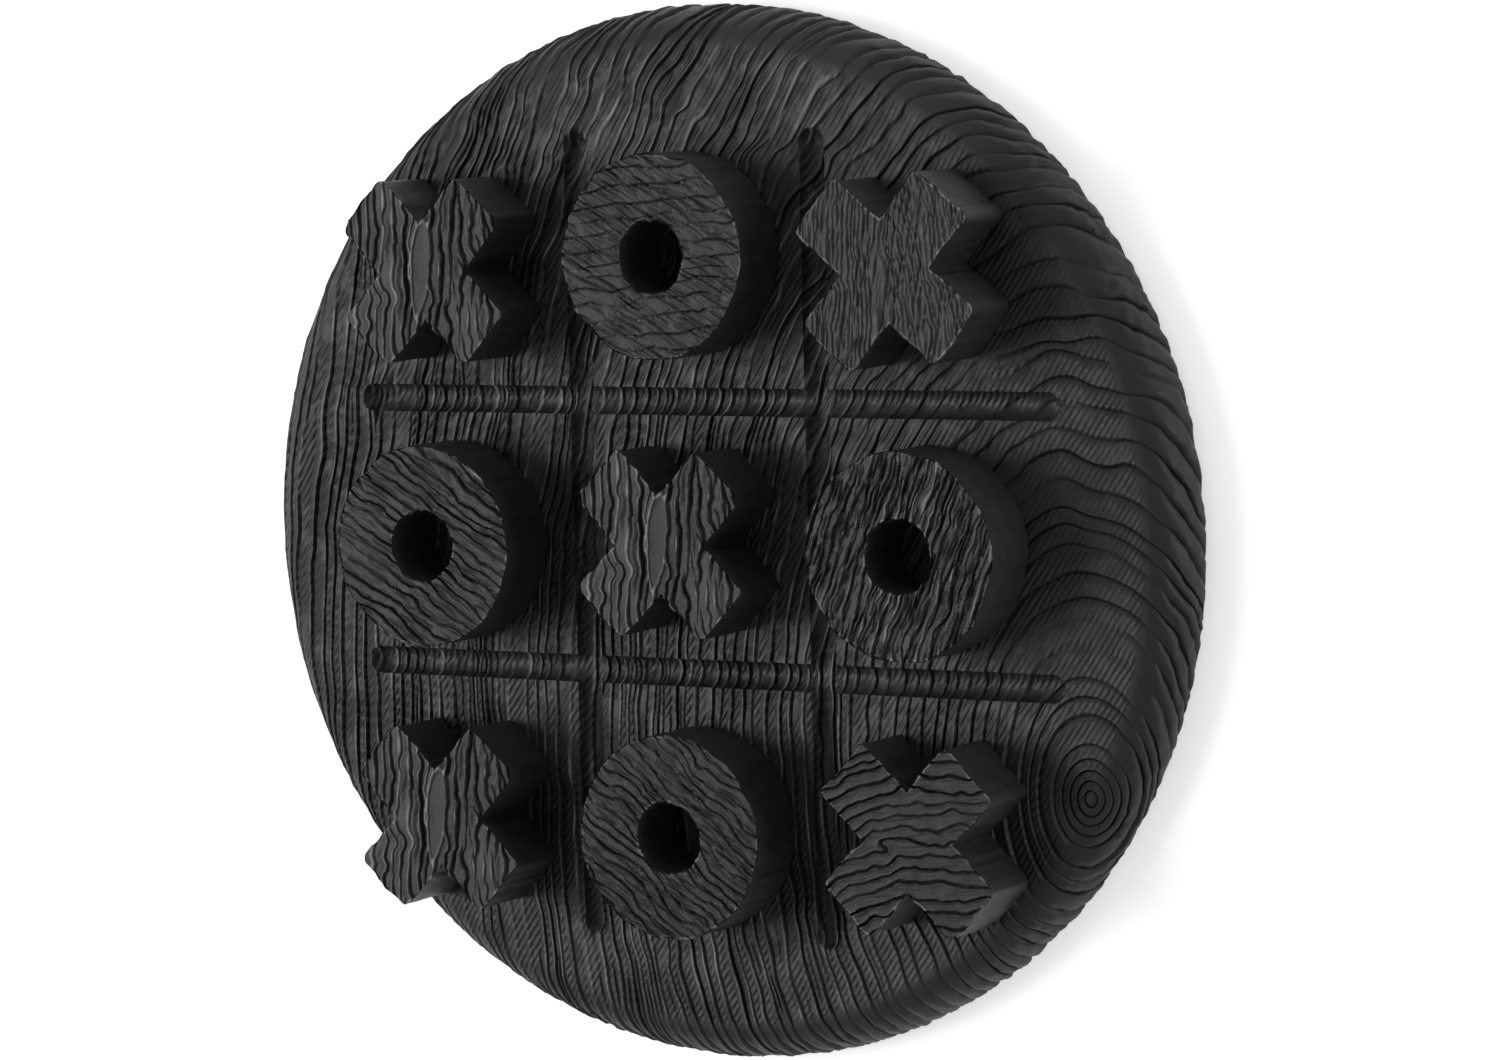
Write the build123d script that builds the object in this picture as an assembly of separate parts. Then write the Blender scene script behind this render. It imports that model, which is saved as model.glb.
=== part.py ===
from build123d import *

import os

# A tic tac toe set: a round board with a grid of four round-bottomed grooves, five X pieces
# and four O pieces standing in its nine cells, and four felt pads under it.
# Millimetres. +X runs to the right along a row of cells, +Y away from the player up a column,
# +Z up. The origin is the board's centre on the surface that the set stands on.

# Board
BOARD_RADIUS = 180.0
BOARD_THICKNESS = 20.0
RIM_ROUND = 16.0
LOWER_ROUND = 3.0

# Felt pads under the board
PAD_RADIUS = 10.0
PAD_THICKNESS = 1.5
PAD_CIRCLE_RADIUS = 140.0
PAD_NAMES = ("back_right", "back_left", "front_left", "front_right")

# Grid of grooves
CELL_PITCH = 92.0
GROOVE_WIDTH = 9.5
GROOVE_DEPTH = 4.2
GROOVE_ACROSS_END = 136.0
GROOVE_UPRIGHT_END = 137.0

# Playing pieces
PIECE_HEIGHT = 26.0
EDGE_EASE = 0.6
X_BAR_LENGTH = 67.0
X_BAR_WIDTH = 24.0
X_CORNER_ROUND = 2.0
O_RADIUS = 34.3
O_HOLE_RADIUS = 12.2

# Where a hand has set each piece down: centre along X, centre along Y, and turn in degrees
X_PLACES = {
    "top_left": (-92.6, 91.0, 1.5),
    "top_right": (86.5, 91.2, 4.5),
    "centre": (-1.4, 0.0, 0.0),
    "bottom_left": (-93.0, -96.4, 1.5),
    "bottom_right": (90.3, -95.0, 0.5),
}
O_PLACES = {
    "top": (-1.4, 95.9, 0.0),
    "left": (-95.9, -2.8, 0.0),
    "right": (89.2, -1.5, 0.0),
    "bottom": (-0.6, -98.3, 0.0),
}

# Heights and the round cutter that leaves the wanted groove width and depth
BOARD_BOTTOM = PAD_THICKNESS
BOARD_TOP = BOARD_BOTTOM + BOARD_THICKNESS
CUTTER_RADIUS = (GROOVE_DEPTH**2 + (GROOVE_WIDTH / 2) ** 2) / (2 * GROOVE_DEPTH)
CUTTER_HEIGHT = BOARD_TOP + CUTTER_RADIUS - GROOVE_DEPTH


def groove_cutter(end, offset, turn):
    """A straight bar with ball ends, lying along a grid line at the given offset from the centre."""
    half = end - GROOVE_WIDTH / 2
    bar = Rot(0, 90, 0) * Cylinder(CUTTER_RADIUS, 2 * half)
    for x in (-half, half):
        bar += Pos(x, 0, 0) * Sphere(CUTTER_RADIUS)
    return Rot(0, 0, turn) * Pos(0, offset, CUTTER_HEIGHT) * bar


def make_board():
    """The disc, with its deep upper round, its small lower round and the four grooves."""
    disc = Pos(0, 0, BOARD_BOTTOM) * Cylinder(
        BOARD_RADIUS, BOARD_THICKNESS, align=(Align.CENTER, Align.CENTER, Align.MIN)
    )
    rims = disc.edges().sort_by(Axis.Z)
    disc = fillet(rims[-1], RIM_ROUND)
    disc = fillet(disc.edges().sort_by(Axis.Z)[0], LOWER_ROUND)
    for offset in (-CELL_PITCH / 2, CELL_PITCH / 2):
        disc -= groove_cutter(GROOVE_ACROSS_END, offset, 0)
        disc -= groove_cutter(GROOVE_UPRIGHT_END, offset, 90)
    return disc


def make_pad():
    """One felt disc at the origin, its top face against the board."""
    return Cylinder(PAD_RADIUS, PAD_THICKNESS, align=(Align.CENTER, Align.CENTER, Align.MIN))


def make_x_piece():
    """Two crossed bars on the diagonals, the outer corners rounded and the faces' edges eased."""
    outline = Rectangle(X_BAR_LENGTH, X_BAR_WIDTH) + Rectangle(X_BAR_WIDTH, X_BAR_LENGTH)
    tips = outline.vertices().sort_by_distance((0, 0, 0))[4:]
    outline = fillet(tips, X_CORNER_ROUND)
    piece = extrude(Rot(0, 0, 45) * outline, amount=PIECE_HEIGHT)
    return ease_faces(piece)


def make_o_piece():
    """A thick ring with a small hole, the faces' edges eased."""
    base = (Align.CENTER, Align.CENTER, Align.MIN)
    piece = Cylinder(O_RADIUS, PIECE_HEIGHT, align=base)
    piece -= Cylinder(O_HOLE_RADIUS, PIECE_HEIGHT, align=base)
    return ease_faces(piece)


def ease_faces(piece):
    """Chamfer every edge of a piece's upper and lower faces by the same small amount."""
    faces = piece.faces().sort_by(Axis.Z)
    return chamfer(faces[0].edges() + faces[-1].edges(), EDGE_EASE)


def set_down(piece, place):
    """Stand a piece on the board at its place."""
    x, y, turn = place
    return Pos(x, y, BOARD_TOP) * Rot(0, 0, turn) * piece


def write(shape, node):
    """Write one node's solid."""
    export_step(shape, f"parts/{node}.step")


os.makedirs("parts", exist_ok=True)
write(make_board(), "board")

for number, name in enumerate(PAD_NAMES):
    around = Rot(0, 0, 45 + 90 * number) * Pos(PAD_CIRCLE_RADIUS, 0, 0)
    write(around * make_pad(), f"felt_pad_{name}")

for name, place in X_PLACES.items():
    write(set_down(make_x_piece(), place), f"x_piece_{name}")

for name, place in O_PLACES.items():
    write(set_down(make_o_piece(), place), f"o_piece_{name}")
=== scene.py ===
"""A round tic tac toe board with carved wood grain, its five X and four O pieces, and its felt pads.

Every shape is worked out in millimetres in the board's own frame, +X along a row of cells,
+Y up a column and +Z out of the playing face, and is written to the meshes in metres.
"""

import logging
import math
from dataclasses import dataclass
from enum import Enum

import bpy
import numpy as np
from mathutils import Matrix, Vector
from mathutils.kdtree import KDTree


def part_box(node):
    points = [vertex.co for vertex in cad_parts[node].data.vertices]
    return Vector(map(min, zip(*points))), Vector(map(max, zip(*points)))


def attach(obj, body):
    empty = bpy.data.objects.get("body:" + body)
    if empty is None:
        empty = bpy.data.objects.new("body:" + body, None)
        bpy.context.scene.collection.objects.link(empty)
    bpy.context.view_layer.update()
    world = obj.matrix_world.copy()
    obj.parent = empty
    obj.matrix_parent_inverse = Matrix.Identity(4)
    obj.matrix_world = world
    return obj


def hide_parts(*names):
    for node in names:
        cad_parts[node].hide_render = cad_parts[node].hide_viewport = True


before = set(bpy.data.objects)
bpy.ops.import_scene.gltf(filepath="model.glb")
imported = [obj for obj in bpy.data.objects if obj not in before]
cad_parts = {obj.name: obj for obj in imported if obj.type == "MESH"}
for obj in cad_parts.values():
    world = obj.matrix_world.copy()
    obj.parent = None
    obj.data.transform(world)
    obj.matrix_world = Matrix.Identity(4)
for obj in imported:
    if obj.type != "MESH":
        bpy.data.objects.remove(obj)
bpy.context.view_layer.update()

MM = 0.001
WELD = 0.005  # millimetres within which doubled vertices are merged
log = logging.getLogger("tic_tac_toe")


# ---------------------------------------------------------------- mesh work


def clear_selection() -> None:
    """Deselect every object."""
    bpy.ops.object.select_all(action="DESELECT")


def take(piece: bpy.types.Object) -> None:
    """Select one object alone and make it active."""
    clear_selection()
    piece.select_set(True)
    bpy.context.view_layer.objects.active = piece


class Editing:
    """Holds one object in edit mode for the length of a with block."""

    def __init__(self, piece: bpy.types.Object, kind: str = "FACE") -> None:
        """Remember the object and the kind of element to select."""
        self.piece = piece
        self.kind = kind

    def __enter__(self) -> None:
        """Enter edit mode."""
        take(self.piece)
        bpy.ops.object.mode_set(mode="EDIT")
        bpy.ops.mesh.select_mode(type=self.kind)

    def __exit__(self, *problem: object) -> None:
        """Go back to object mode."""
        bpy.ops.object.mode_set(mode="OBJECT")


def read_all(items: bpy.types.bpy_prop_collection, name: str, width: int, kind: type) -> np.ndarray:
    """Read one property of every item of a mesh.

    Args:
        items: the mesh's vertices, edges, loops or faces.
        name: the property's name.
        width: how many numbers the property holds.
        kind: float or int.

    Returns:
        One row of numbers for each item, or a plain list of them where width is 1.
    """
    flat = np.zeros(len(items) * width, kind)
    items.foreach_get(name, flat)
    return flat if width == 1 else flat.reshape(-1, width)


def points_of(piece: bpy.types.Object) -> np.ndarray:
    """Read a mesh's vertices, one row of x, y, z in millimetres for each."""
    return read_all(piece.data.vertices, "co", 3, float) / MM


def move_points(piece: bpy.types.Object, points: np.ndarray) -> None:
    """Write a mesh's vertices back.

    Args:
        piece: a mesh object at the origin.
        points: one row of x, y, z in millimetres for each vertex.
    """
    piece.data.vertices.foreach_set("co", (points * MM).ravel())
    piece.data.update()


def pick(piece: bpy.types.Object, wanted: np.ndarray) -> None:
    """Select vertices, and the edges and faces that have only such vertices.

    Args:
        piece: a mesh object in object mode.
        wanted: True for each vertex to select.
    """
    mesh = piece.data
    ends = read_all(mesh.edges, "vertices", 2, int)
    corners = read_all(mesh.loops, "vertex_index", 1, int)
    starts = read_all(mesh.polygons, "loop_start", 1, int)
    mesh.vertices.foreach_set("select", wanted)
    mesh.edges.foreach_set("select", wanted[ends].all(axis=1))
    mesh.polygons.foreach_set("select", np.logical_and.reduceat(wanted[corners], starts))
    mesh.update()


def note_values(piece: bpy.types.Object, name: str, values: np.ndarray) -> None:
    """Store one number for each vertex, under a name that materials can read."""
    layer = piece.data.attributes.get(name) or piece.data.attributes.new(name, "FLOAT", "POINT")
    layer.data.foreach_set("value", values.astype(np.float32))


def noted_values(piece: bpy.types.Object, name: str) -> np.ndarray:
    """Read back the number that each vertex holds under a name."""
    return read_all(piece.data.attributes[name].data, "value", 1, np.float32).astype(float)


def start_grid(name: str, along_x: int, along_y: int) -> bpy.types.Object:
    """Add a square grid, one metre on a side.

    Args:
        name: the new object's name.
        along_x: how many faces it has along X.
        along_y: how many faces it has along Y.

    Returns:
        The grid, lying flat round the origin.
    """
    clear_selection()
    bpy.ops.mesh.primitive_grid_add(x_subdivisions=along_x, y_subdivisions=along_y, size=1.0)
    piece = bpy.context.active_object
    piece.name = name
    piece.data.name = name
    return piece


def grid_steps(piece: bpy.types.Object, along_x: int, along_y: int) -> tuple[np.ndarray, np.ndarray]:
    """Number the vertices of a grid that start_grid has just made.

    Args:
        piece: the grid.
        along_x: how many faces it has along X.
        along_y: how many faces it has along Y.

    Returns:
        The column and the row of each vertex.
    """
    place = points_of(piece) * MM
    column = np.rint((place[:, 0] + 0.5) * along_x).astype(int)
    row = np.rint((place[:, 1] + 0.5) * along_y).astype(int)
    return column, row


def select_open_edges() -> None:
    """Select the edges with one face only, in edit mode."""
    bpy.ops.mesh.select_all(action="DESELECT")
    bpy.ops.mesh.select_non_manifold(
        extend=False, use_wire=False, use_boundary=True, use_multi_face=False,
        use_non_contiguous=False, use_verts=False,
    )


def face_outwards() -> None:
    """Turn every face outwards, in edit mode."""
    bpy.ops.mesh.select_all(action="SELECT")
    bpy.ops.mesh.normals_make_consistent(inside=False)


def close_underside(piece: bpy.types.Object) -> None:
    """Fill the one open loop of a shell with a flat face and turn every face outwards."""
    with Editing(piece, "EDGE"):
        select_open_edges()
        bpy.ops.mesh.edge_face_add()
        face_outwards()


def shade(piece: bpy.types.Object, crease_deg: float) -> None:
    """Shade smooth, with a hard edge wherever two faces meet at more than an angle."""
    take(piece)
    bpy.ops.object.shade_smooth_by_angle(angle=math.radians(crease_deg))


def dress(piece: bpy.types.Object, body: str, node: str, material: bpy.types.Material) -> None:
    """Give a finished piece its material and its place in the model.

    Args:
        piece: the finished piece.
        body: the body that it rides on.
        node: the CAD node that it stands for.
        material: its material.
    """
    piece.data.materials.clear()
    piece.data.materials.append(material)
    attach(piece, body)
    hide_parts(node)
    log.info("%s: %d faces, rides on %s", piece.name, len(piece.data.polygons), body)


# ---------------------------------------------------------------- carved grain


def ease(value: np.ndarray, low: float, high: float) -> np.ndarray:
    """Rise smoothly from 0 at low to 1 at high."""
    share = np.clip((value - low) / (high - low), 0.0, 1.0)
    return share * share * (3.0 - 2.0 * share)


def ridge_depth(share: np.ndarray, steep: float) -> np.ndarray:
    """Give the depth between two crests, from 0 at a crest to 1 at the foot of the next.

    Args:
        share: how far a point lies from one crest to the next, 0 to 1.
        steep: the share taken by the steep flank under the next crest.

    Returns:
        Depth, 0 at both crests. It sinks gently from the first and climbs steeply to the next.
    """
    places = (0.0, 0.12, 0.27, 1.0 - 2.2 * steep, 1.0 - steep, 1.0)
    return np.interp(share, places, (0.0, 0.08, 0.58, 0.68, 1.0, 0.0))


@dataclass(frozen=True)
class Drift:
    """Smooth noise over the plane, from about -1 to 1, the same on every run.

    Attributes:
        span: the distance in millimetres over which it changes.
        seed: which of the patterns it is.
    """

    span: float
    seed: int

    def corner(self, column: np.ndarray, row: np.ndarray) -> np.ndarray:
        """Give the fixed random value of each lattice corner.

        Args:
            column: the corner's column.
            row: the corner's row.

        Returns:
            A number from -1 to 1.
        """
        mixed = (column * 374761393 + row * 668265263 + self.seed * 974711) & 0xFFFFFFFF
        mixed = ((mixed ^ (mixed >> 13)) * 1274126177) & 0xFFFFFFFF
        mixed = mixed ^ (mixed >> 16)
        return mixed / 2147483648.0 - 1.0

    def at(self, x: np.ndarray, y: np.ndarray) -> np.ndarray:
        """Give the noise at points.

        Args:
            x: millimetres along X.
            y: millimetres along Y.

        Returns:
            A number from about -1 to 1 for each point.
        """
        across, up = x / self.span, y / self.span
        column, row = np.floor(across).astype(np.int64), np.floor(up).astype(np.int64)
        s, t = across - column, up - row
        s, t = (v * v * v * (v * (v * 6 - 15) + 10) for v in (s, t))
        low = self.corner(column, row) * (1 - s) + self.corner(column + 1, row) * s
        high = self.corner(column, row + 1) * (1 - s) + self.corner(column + 1, row + 1) * s
        return low * (1 - t) + high * t


def layers(waves: tuple[tuple[float, float, int], ...], x: np.ndarray, y: np.ndarray) -> np.ndarray:
    """Add up several layers of drift.

    Args:
        waves: for each layer its height and span in millimetres, and its seed.
        x: millimetres along X.
        y: millimetres along Y.

    Returns:
        Their sum at each point, in millimetres.
    """
    return sum(height * Drift(span, seed).at(x, y) for height, span, seed in waves)


# ---------------------------------------------------------------- the board


@dataclass
class Board:
    """The round board, with growth rings round a knot and a grid of round-bottomed grooves.

    The relief is laid out on a flat sheet whose columns follow the rings. The sheet is then
    rolled over the rim and down the side.

    Attributes:
        radius: radius of the board, in millimetres as all lengths here are.
        rim_round: radius of the upper edge.
        lower_round: radius of the lower edge.
        thickness: thickness of the board.
        top: height of the playing face above the table.
        cell_pitch: distance between grooves.
        groove_width: width of a groove at the face.
        groove_depth: depth of a groove.
        groove_across_end: how far the grooves along X reach from the middle.
        groove_upright_end: how far the grooves along Y reach from the middle.
        knot: the middle of the growth rings.
        ring_width: width of a ring at the knot.
        ring_growth: share by which the last ring is wider than the first.
        ring_spread: share by which single rings are wider or narrower.
        rings: how many rings there are.
        sectors: how many faces there are round each ring.
        stretch_above: how much longer than wide the rings are above the knot.
        stretch_below: the same below it.
        relief: height of a full crest.
        scallop: how far the rim swells between two rings.
        chips: how far the rim is chipped away on the whole.
        seed: which pattern the rings are.
    """

    radius: float = 180.0
    rim_round: float = 16.0
    lower_round: float = 3.0
    thickness: float = 20.0
    top: float = 21.5
    cell_pitch: float = 92.0
    groove_width: float = 9.5
    groove_depth: float = 4.2
    groove_across_end: float = 136.0
    groove_upright_end: float = 137.0
    knot: tuple[float, float] = (144.5, -81.5)
    ring_width: float = 4.3
    ring_growth: float = 0.3
    ring_spread: float = 0.38
    rings: int = 82
    sectors: int = 648
    stretch_above: float = 1.66
    stretch_below: float = 1.5
    relief: float = 1.15
    scallop: float = 0.8
    chips: float = 0.45
    seed: int = 11

    # Where each ring is cut across, as shares of its width: close together at the crests
    CUTS = (0.0, 0.12, 0.27, 0.42, 0.50, 0.60, 0.76, 0.89)
    # The share of its width that a ring's steep flank takes, under the next crest
    STEEP = 1.0 - CUTS[-1]
    # Near the knot the rings are cut into fewer sectors: one in 2 up to ring 22, and so on
    THINNED = ((2, 22), (4, 10), (8, 5))
    # Layers of drift that bend the rings sideways and lengthways: height, span and seed
    BENDS_X = ((1.5, 46.0, 1), (1.1, 15.0, 2), (0.75, 7.0, 8))
    BENDS_Y = ((3.2, 38.0, 3), (2.0, 15.0, 4))
    # The heart of the knot: its first rings are narrow, and it is rounder than those further out
    HEART_RINGS = 3
    HEART_WIDTH = 0.62
    HEART_STRETCH = 1.2
    # Where the crests stand high beside the knot: from the knot to its middle, and its half size
    RAISED_MIDDLE = (-34.0, -8.0)
    RAISED_HALF = (30.0, 42.0)
    # Two profiles from crest to crest: shares of the ring's width, and of the relief
    THIN_CUT = ((0.0, 0.5, CUTS[6], CUTS[7], 1.0), (0.0, 0.12, 0.28, 0.9, 0.0))
    SECOND_CREST = (CUTS[2:6], (0.0, 0.55, -0.25, 0.0))
    # How deep in the grain the tone reads at least, so that the crests there are toned darker and get
    # no painted highlight: on the right and on the rim
    NO_HIGHLIGHT_RIGHT = 0.32
    NO_HIGHLIGHT_RIM = 0.36
    # How far inside each edge of a groove a line is cut into the sheet
    GROOVE_LINES = (0.0, 0.25, 1.3)

    def build(self, finish: "CastResin") -> bpy.types.Object:
        """Make the board and dress it.

        Args:
            finish: what the board is made of.

        Returns:
            The finished board.
        """
        piece = self.ring_sheet()
        self.line_up_grooves(piece)
        self.roll_over_rim(piece)
        close_underside(piece)
        shade(piece, crease_deg=50.0)
        dress(piece, "board", "board", finish.material())
        return piece

    @property
    def flat_radius(self) -> float:
        """Radius of the flat face, inside the rim's round."""
        return self.radius - self.rim_round

    @property
    def rim_arc(self) -> float:
        """Length of the rim's round, measured over its surface."""
        return self.rim_round * math.pi / 2

    @property
    def side_height(self) -> float:
        """Height of the upright side between the two rounds."""
        return self.thickness - self.rim_round - self.lower_round

    @property
    def sheet_radius(self) -> float:
        """Radius of the flat sheet that covers the face, the rim and the side."""
        return self.flat_radius + self.rim_arc + self.side_height + self.lower_round * math.pi / 2

    def ring_sheet(self) -> bpy.types.Object:
        """Lay a flat round sheet whose columns of faces follow the growth rings.

        Returns:
            The sheet, with each vertex's ring number stored as ring.
        """
        columns = self.rings * len(self.CUTS)
        piece = start_grid("carved_board", columns, self.sectors)
        column, row = grid_steps(piece, columns, self.sectors)
        ring = column // len(self.CUTS) + np.array(self.CUTS)[column % len(self.CUTS)]
        for fewer, nearest in self.THINNED:
            row = np.where(ring < nearest, (row // fewer) * fewer, row)
        x, y = self.ring_place(ring, 2 * math.pi * row / self.sectors)
        outside = np.hypot(x, y) > self.sheet_radius
        note_values(piece, "ring", ring)
        spare = self.beyond_first_outside(piece, outside)
        shrink = np.where(outside, self.sheet_radius / np.maximum(np.hypot(x, y), 1.0), 1.0)
        move_points(piece, np.column_stack([x * shrink, y * shrink, np.zeros(len(x))]))
        pick(piece, spare)
        with Editing(piece, "VERT"):
            bpy.ops.mesh.delete(type="VERT")
            bpy.ops.mesh.select_all(action="SELECT")
            bpy.ops.mesh.remove_doubles(threshold=2 * WELD * MM)
            bpy.ops.mesh.delete_loose(use_verts=True, use_edges=True, use_faces=False)
        return piece

    def beyond_first_outside(self, piece: bpy.types.Object, outside: np.ndarray) -> np.ndarray:
        """Mark the vertices whose every face lies wholly outside the sheet's circle.

        Args:
            piece: the sheet, all of four-sided faces.
            outside: True for each vertex outside the circle.

        Returns:
            True for each vertex that no face inside or across the circle needs.
        """
        four = read_all(piece.data.loops, "vertex_index", 1, int).reshape(-1, 4)
        kept = ~outside[four].all(axis=1)
        needed = np.zeros(len(outside), bool)
        needed[four[kept].ravel()] = True
        return ~needed

    def ring_place(self, ring: np.ndarray, turn: np.ndarray) -> tuple[np.ndarray, np.ndarray]:
        """Place points of the rings on the flat sheet.

        Args:
            ring: ring number counted from the knot, with its fraction.
            turn: direction from the knot, in radians.

        Returns:
            x and y in millimetres.
        """
        luck = np.random.default_rng(self.seed).uniform(-1, 1, self.rings + 2)
        widths = 1.0 + self.ring_spread * luck
        widths = widths * np.linspace(1.0, 1.0 + self.ring_growth, len(widths))
        widths[: self.HEART_RINGS] = self.HEART_WIDTH
        edges = np.concatenate([[0.0], np.cumsum(widths)]) * self.ring_width
        reach = np.interp(ring, np.arange(len(edges)), edges)
        stretch = np.where(np.sin(turn) > 0, self.stretch_above, self.stretch_below)
        stretch = self.HEART_STRETCH + (stretch - self.HEART_STRETCH) * ease(reach, 4.0, 34.0)
        x = self.knot[0] + reach * np.cos(turn)
        y = self.knot[1] + reach * stretch * np.sin(turn)
        waver = ease(reach, 8.0, 70.0)
        upper = 0.7 + 0.6 * ease(y, -40.0, 120.0) + 0.35 * ease(x, 60.0, 150.0)
        waver = waver * upper
        return x + waver * layers(self.BENDS_X, x, y), y + waver * layers(self.BENDS_Y, x, y)

    def line_up_grooves(self, piece: bpy.types.Object) -> None:
        """Cut lines into the sheet along both edges of each groove, and refine the groove ends.

        Args:
            piece: the flat sheet.
        """
        half = self.groove_width / 2
        for upright in (False, True):
            end = self.groove_upright_end if upright else self.groove_across_end
            for middle in (-self.cell_pitch / 2, self.cell_pitch / 2):
                place = points_of(piece)
                across = place[:, 0] if upright else place[:, 1]
                along = place[:, 1] if upright else place[:, 0]
                pick(piece, (abs(across - middle) < half + 4.0) & (abs(along) < end + 3.0))
                normal = (1.0, 0.0, 0.0) if upright else (0.0, 1.0, 0.0)
                with Editing(piece):
                    bpy.ops.mesh.hide(unselected=True)
                    offsets = [-half + inset for inset in self.GROOVE_LINES]
                    for offset in offsets + [-offset for offset in reversed(offsets)]:
                        bpy.ops.mesh.select_all(action="SELECT")
                        point = Vector(normal) * (middle + offset) * MM
                        bpy.ops.mesh.bisect(plane_co=point, plane_no=normal)
                    bpy.ops.mesh.reveal(select=False)
                place = points_of(piece)
                across = place[:, 0] if upright else place[:, 1]
                along = place[:, 1] if upright else place[:, 0]
                near_end = abs(abs(along) - (end - half / 2)) < half * 0.9
                pick(piece, (abs(across - middle) < half + 1.5) & near_end)
                with Editing(piece):
                    bpy.ops.mesh.subdivide(number_cuts=1)

    def groove_drop(self, x: np.ndarray, y: np.ndarray) -> np.ndarray:
        """Work out the grooves, as a ball-nosed cutter leaves them.

        Args:
            x: place on the sheet.
            y: place on the sheet.

        Returns:
            How far each point lies under the face, in millimetres, and 0 outside the grooves.
        """
        half = self.groove_width / 2
        cutter = (self.groove_depth**2 + half**2) / (2 * self.groove_depth)
        raised = cutter - self.groove_depth
        drop = np.zeros(len(x))
        for across, along, end in (
            (y, x, self.groove_across_end),
            (x, y, self.groove_upright_end),
        ):
            past_end = np.maximum(abs(along) - (end - half), 0.0)
            for middle in (-self.cell_pitch / 2, self.cell_pitch / 2):
                away = np.hypot(across - middle, past_end)
                inside = np.sqrt(np.maximum(cutter**2 - away**2, 0.0)) - raised
                drop = np.maximum(drop, np.where(away < half + 0.01, inside, 0.0))
        return drop

    def carving(self, ring: np.ndarray, x: np.ndarray, y: np.ndarray) -> np.ndarray:
        """Give how deep the growth rings are carved, in millimetres.

        Args:
            ring: ring number of each point, with its fraction.
            x: place on the sheet.
            y: place on the sheet.

        Returns:
            Depth under the crests, 0 or more.
        """
        lower = np.floor(ring).astype(int)
        share = ring - lower
        chance = np.random.default_rng(self.seed + 1).uniform(0.0, 1.0, (3, self.rings + 3))
        inner, outer = (self.crest_force(x, y, chance[:, crest]) for crest in (lower, lower + 1))
        blend = ease(share, 0.1, 0.8)
        # On the right the crests are worn level, and only thin cuts are left between them
        calm = 0.85 * ease(x, 15.0, 85.0) * (1 - 0.85 * self.by_knot(x, y))
        thin = np.interp(share, *self.THIN_CUT)
        shape = ridge_depth(share, self.STEEP) * (1 - calm) + thin * calm
        relief = self.relief * shape * (inner * (1 - blend) + outer * blend)
        # Here and there a ring has a faint second crest in its middle
        wide = np.clip(1.3 * Drift(22.0, 6).at(x, y + 30 * chance[2, lower]) - 0.35, 0.0, 1.0)
        between = np.interp(share, *self.SECOND_CREST)
        swell = 0.12 * (1.0 + Drift(9.0, 7).at(x, y))
        return np.maximum(relief + self.relief * wide * between * (1 - calm), 0.0) + swell

    def by_knot(self, x: np.ndarray, y: np.ndarray) -> np.ndarray:
        """Mark the ground on the knot's left, where the crests stand high.

        Args:
            x: place on the sheet.
            y: place on the sheet.

        Returns:
            1 in the middle of that ground, down to 0 away from it.
        """
        across = (x - self.knot[0] - self.RAISED_MIDDLE[0]) / self.RAISED_HALF[0]
        along = (y - self.knot[1] - self.RAISED_MIDDLE[1]) / self.RAISED_HALF[1]
        return np.exp(-(across**2) - along**2)

    def crest_force(self, x: np.ndarray, y: np.ndarray, chance: np.ndarray) -> np.ndarray:
        """Give how strongly a crest stands out at each point.

        Args:
            x: place on the sheet.
            y: place on the sheet.
            chance: three fixed random numbers for the crest of each point.

        Returns:
            About 0.2 where the crest fades, to 1.2.
        """
        along = Drift(24.0, 5).at(x + 40 * chance[0], y)
        return np.clip(0.8 + 0.5 * (chance[1] - 0.5) + 0.4 * along, 0.2, 1.2)

    def roll_over_rim(self, piece: bpy.types.Object) -> None:
        """Roll the flat sheet over the rim and down the side, and carve it.

        Depth and sawn are stored for the material: how deep each point lies in the grain, which sets
        the painted highlight on crests and the painted shade in the hollows, held deep enough on the
        right and on the rim that their crests get no painted highlight; and whether saw marks show
        there.

        Args:
            piece: the flat sheet, with its grooves lined up.
        """
        place = points_of(piece)
        x, y = place[:, 0], place[:, 1]
        ring = noted_values(piece, "ring")
        out = np.hypot(x, y)
        # Wrap the sheet round the section: rim, side, lower edge
        past = np.maximum(out - self.flat_radius, 0.0)
        bend = np.clip(past / self.rim_round, 0.0, math.pi / 2)
        down = np.clip(past - self.rim_arc, 0.0, self.side_height)
        tuck = np.clip((past - self.rim_arc - self.side_height) / self.lower_round, 0.0, math.pi / 2)
        reach = np.minimum(out, self.flat_radius) + self.rim_round * np.sin(bend)
        reach = reach - self.lower_round * (1 - np.cos(tuck))
        height = self.top - self.rim_round * (1 - np.cos(bend)) - down
        height = height - self.lower_round * np.sin(tuck)
        # Carve it: weaker on the shoulder, and swelling between the rings lower on the rim
        reach = reach - self.chips * (1 + Drift(4.0, 9).at(x * 1.4, y * 1.4)) * np.sin(bend)
        depth = self.carving(ring, x, y) * (1.0 - ease(out, self.sheet_radius - 4, self.sheet_radius))
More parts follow.
